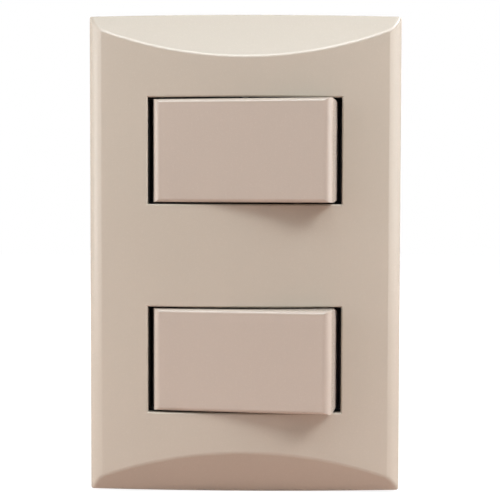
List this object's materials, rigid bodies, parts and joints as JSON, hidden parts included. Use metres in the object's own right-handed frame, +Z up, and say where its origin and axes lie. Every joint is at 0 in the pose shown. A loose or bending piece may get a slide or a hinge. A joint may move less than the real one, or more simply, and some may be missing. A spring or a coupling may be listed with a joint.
{
  "type": "light switch",
  "caption": "Upright wall light switch: bowed clip-on cover plate with bevelled top and bottom, and wide rockers that tip left and right over clip-in contact modules.",
  "frame": {"origin": "middle of the cover plate on the wall plane, halfway between the two box screws", "axes": "+X right, +Y into the wall, +Z up; the face looks towards -Y"},
  "size_m": [0.0766, 0.0358, 0.118],
  "materials": {
    "plate_plastic": "satin moulded plastic, warm beige",
    "rocker_plastic": "satin moulded plastic, warm beige, slightly pinker than the plate",
    "chassis_plastic": "matt moulded plastic, charcoal",
    "module_plastic": "matt moulded plastic, near black",
    "base_plastic": "matt moulded plastic, dark grey",
    "nylon": "matt moulded plastic, natural white",
    "brass": "stamped strip, bright",
    "silver": "silver contact, softly polished",
    "plated_steel": "zinc plated",
    "spring_steel": "drawn spring wire"
  },
  "bodies": {
    "fixed_body": {"wall_plate": "plate_plastic", "chassis": "chassis_plastic", "box_screws": "plated_steel", "upper_housing": "module_plastic", "upper_base": "base_plastic", "upper_common_terminal": "brass", "upper_load_terminal": "brass", "upper_fixed_tip": "silver", "upper_terminal_screws": "plated_steel", "upper_terminal_clamps": "plated_steel", "lower_housing": "module_plastic", "lower_base": "base_plastic", "lower_common_terminal": "brass", "lower_load_terminal": "brass", "lower_fixed_tip": "silver", "lower_terminal_screws": "plated_steel", "lower_terminal_clamps": "plated_steel"},
    "upper_rocker_body": {"upper_rocker": "rocker_plastic", "upper_plunger_spring": "spring_steel"},
    "upper_plunger_body": {"upper_plunger": "nylon"},
    "upper_contact_body": {"upper_moving_contact": "brass", "upper_moving_tip": "silver"},
    "lower_rocker_body": {"lower_rocker": "rocker_plastic", "lower_plunger_spring": "spring_steel"},
    "lower_plunger_body": {"lower_plunger": "nylon"},
    "lower_contact_body": {"lower_moving_contact": "brass", "lower_moving_tip": "silver"}
  },
  "joints": [
    {"name": "upper_rocker_hinge", "type": "hinge", "parent": "fixed_body", "child": "upper_rocker_body", "pos_m": [0, -0.0045, 0.02555], "axis": [0, 0, 1], "range_deg": [0, 16]},
    {"name": "upper_plunger_slide", "type": "slide", "parent": "upper_rocker_body", "child": "upper_plunger_body", "axis": [-0.1392, -0.9903, 0], "range_m": [0, 0.0008], "stiffness_N_per_m": 500, "deforming": ["upper_plunger_spring"]},
    {"name": "upper_contact_hinge", "type": "hinge", "parent": "fixed_body", "child": "upper_contact_body", "pos_m": [0, 0.01071, 0.02555], "axis": [0, 0, 1], "range_deg": [-10, 0]},
    {"name": "lower_rocker_hinge", "type": "hinge", "parent": "fixed_body", "child": "lower_rocker_body", "pos_m": [0, -0.0045, -0.02555], "axis": [0, 0, 1], "range_deg": [0, 16]},
    {"name": "lower_plunger_slide", "type": "slide", "parent": "lower_rocker_body", "child": "lower_plunger_body", "axis": [-0.1392, -0.9903, 0], "range_m": [0, 0.0008], "stiffness_N_per_m": 500, "deforming": ["lower_plunger_spring"]},
    {"name": "lower_contact_hinge", "type": "hinge", "parent": "fixed_body", "child": "lower_contact_body", "pos_m": [0, 0.01071, -0.02555], "axis": [0, 0, 1], "range_deg": [-10, 0]}
  ],
  "couplings": [
    {"joint": "upper_contact_hinge", "follows": "upper_rocker_hinge", "ratio": -0.625},
    {"joint": "lower_contact_hinge", "follows": "lower_rocker_hinge", "ratio": -0.625}
  ]
}
